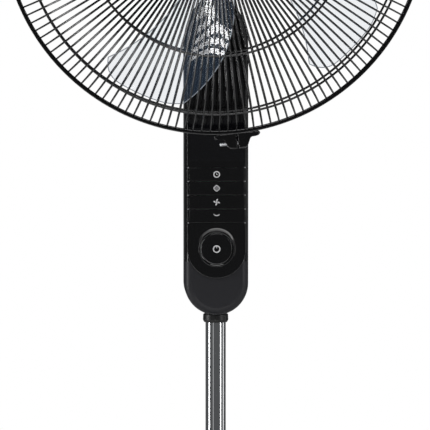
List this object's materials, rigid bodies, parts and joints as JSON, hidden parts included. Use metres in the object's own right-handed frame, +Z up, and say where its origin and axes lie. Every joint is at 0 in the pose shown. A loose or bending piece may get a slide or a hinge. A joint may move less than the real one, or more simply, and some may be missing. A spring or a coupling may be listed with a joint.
{
  "type": "pedestal fan",
  "caption": "Free-standing pedestal fan with a round base, telescopic pole, slim touch-button column, wire guard and clear blades.",
  "frame": {"origin": "on the floor, at the axis of the pole", "axes": "+Z up along the pole, the fan blows towards -Y, +X to the viewer's right"},
  "size_m": [0.45, 0.4, 1.325],
  "materials": {
    "black_plastic": "satin black moulded ABS",
    "base_paint": "satin black base cover",
    "rubber_black": "soft black rubber",
    "weight_steel": "dark primed steel",
    "zinc_steel": "zinc plated steel",
    "chrome_tube": "polished chrome plate",
    "bush_nylon": "natural nylon",
    "grey_shell": "satin dark grey moulded ABS",
    "piano_black": "high gloss black",
    "smoked_window": "smoked clear acrylic, black over the dark display",
    "ring_grey": "dark grey gloss ring",
    "inner_plastic": "black technical plastic",
    "board_green": "green circuit board",
    "cast_grey": "die-cast aluminium",
    "neck_black": "black painted steel",
    "core_steel": "laminated electrical steel",
    "copper_wire": "enamelled copper winding",
    "white_plastic": "white plastic case",
    "swing_case": "plain steel can",
    "guard_wire": "gloss black coated wire",
    "blade_clear": "clear pale blue-grey AS plastic",
    "spinner_grey": "black gloss plastic"
  },
  "bodies": {
    "stand": {"foot_ring": "rubber_black", "base_plate": "weight_steel", "base_cover": "base_paint", "tube_socket": "zinc_steel", "base_screws": "zinc_steel", "base_collar": "black_plastic", "lower_tube": "chrome_tube", "height_bush": "bush_nylon"},
    "column": {"upper_tube": "chrome_tube", "pole_collar": "black_plastic", "pole_clamp": "inner_plastic", "rear_shell": "grey_shell", "front_shell": "grey_shell", "fascia": "piano_black", "display_window": "smoked_window", "display_module": "inner_plastic", "control_board": "board_green", "tact_switches": "inner_plastic", "ir_receiver": "inner_plastic", "board_screws": "zinc_steel", "shell_screws": "zinc_steel", "cord_gland": "black_plastic", "power_ring": "ring_grey", "tilt_yoke": "zinc_steel", "tilt_bolt": "zinc_steel"},
    "neck": {"neck_bracket": "neck_black", "swing_gear": "bush_nylon", "swing_clip": "zinc_steel", "neck_cover": "black_plastic"},
    "head": {"motor_bracket": "zinc_steel", "front_shield": "cast_grey", "rear_shield": "cast_grey", "motor_cover": "black_plastic", "stator_core": "core_steel", "windings": "copper_wire", "front_bearing": "zinc_steel", "rear_bearing": "zinc_steel", "motor_bolts": "zinc_steel", "capacitor": "white_plastic", "swing_motor": "swing_case", "rear_guard": "guard_wire", "guard_nut": "black_plastic", "front_guard": "guard_wire", "front_cap": "black_plastic", "guard_band": "black_plastic", "clamp_nut": "zinc_steel"},
    "rotor": {"shaft": "zinc_steel", "rotor_core": "core_steel", "blades": "blade_clear", "spinner": "spinner_grey"},
    "height_nut": {"height_collar": "black_plastic"},
    "wing": {"wing_screw": "black_plastic"},
    "timer_key": {"timer_button": "piano_black"},
    "mode_key": {"mode_button": "piano_black"},
    "speed_key": {"speed_button": "piano_black"},
    "night_key": {"night_button": "piano_black"},
    "power_key": {"power_button": "piano_black"},
    "pinion_gear": {"pinion": "bush_nylon"},
    "clamp_screw": {"guard_screw": "zinc_steel"}
  },
  "joints": [
    {"name": "height_nut_turn", "type": "hinge", "parent": "stand", "child": "height_nut", "pos_m": [0, 0, 0.418], "axis": [0, 0, 1], "range_deg": [-120, 0]},
    {"name": "height_slide", "type": "slide", "parent": "stand", "child": "column", "axis": [0, 0, 1], "range_m": [-0.18, 0.06]},
    {"name": "wing_turn", "type": "hinge", "parent": "column", "child": "wing", "pos_m": [0, 0.026, 0.704], "axis": [0, 1, 0], "range_deg": [-90, 270]},
    {"name": "timer_press", "type": "slide", "parent": "column", "child": "timer_key", "axis": [0, 1, 0], "range_m": [0, 0.001], "stiffness_N_per_m": 400, "springref_m": -0.002},
    {"name": "mode_press", "type": "slide", "parent": "column", "child": "mode_key", "axis": [0, 1, 0], "range_m": [0, 0.001], "stiffness_N_per_m": 400, "springref_m": -0.002},
    {"name": "speed_press", "type": "slide", "parent": "column", "child": "speed_key", "axis": [0, 1, 0], "range_m": [0, 0.001], "stiffness_N_per_m": 400, "springref_m": -0.002},
    {"name": "night_press", "type": "slide", "parent": "column", "child": "night_key", "axis": [0, 1, 0], "range_m": [0, 0.001], "stiffness_N_per_m": 400, "springref_m": -0.002},
    {"name": "power_press", "type": "slide", "parent": "column", "child": "power_key", "axis": [0, 1, 0], "range_m": [0, 0.001], "stiffness_N_per_m": 400, "springref_m": -0.002},
    {"name": "tilt", "type": "hinge", "parent": "column", "child": "neck", "pos_m": [0, 0, 1], "axis": [1, 0, 0], "range_deg": [-20, 10]},
    {"name": "swing", "type": "hinge", "parent": "neck", "child": "head", "pos_m": [0, 0, 1.05], "axis": [0, 0, 1], "range_deg": [-40, 40]},
    {"name": "pinion_spin", "type": "hinge", "parent": "head", "child": "pinion_gear", "pos_m": [0, 0.024, 1.04], "axis": [0, 0, 1], "range_deg": [-121, 121]},
    {"name": "rotor_spin", "type": "hinge", "parent": "head", "child": "rotor", "pos_m": [-0.005, -0.09, 1.1], "axis": [0, 1, 0], "continuous": true},
    {"name": "clamp_screw_turn", "type": "hinge", "parent": "head", "child": "clamp_screw", "pos_m": [0.01956, -0.095, 0.86629], "axis": [0.9945, 0, 0.1045], "continuous": true}
  ],
  "couplings": [
    {"joint": "pinion_spin", "follows": "swing", "ratio": 3}
  ]
}
